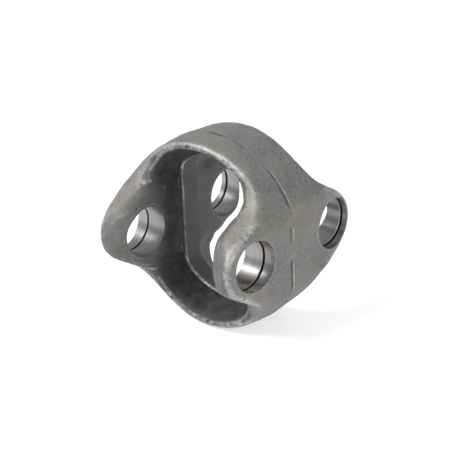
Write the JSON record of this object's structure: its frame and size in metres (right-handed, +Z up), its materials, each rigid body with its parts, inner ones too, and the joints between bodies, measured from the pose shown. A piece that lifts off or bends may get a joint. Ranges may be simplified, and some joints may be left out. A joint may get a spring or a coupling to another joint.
{
  "type": "driveshaft centre yoke",
  "caption": "Forged one-piece centre yoke of a double-cardan joint: a hollow ring with paired ears front and rear, bored across for bearing cups and grooved for snap rings.",
  "frame": {"origin": "midway between the two cross-bore axes, on the driveline axis", "axes": "+X along both cross bores, +Y along the driveline from the front ears to the rear ears, +Z up"},
  "size_m": [0.0968, 0.1016, 0.1064],
  "materials": {
    "forged_steel": "forge scale outside, satin machined bores"
  },
  "bodies": {
    "root": {"centre_yoke": "forged_steel"}
  },
  "joints": []
}
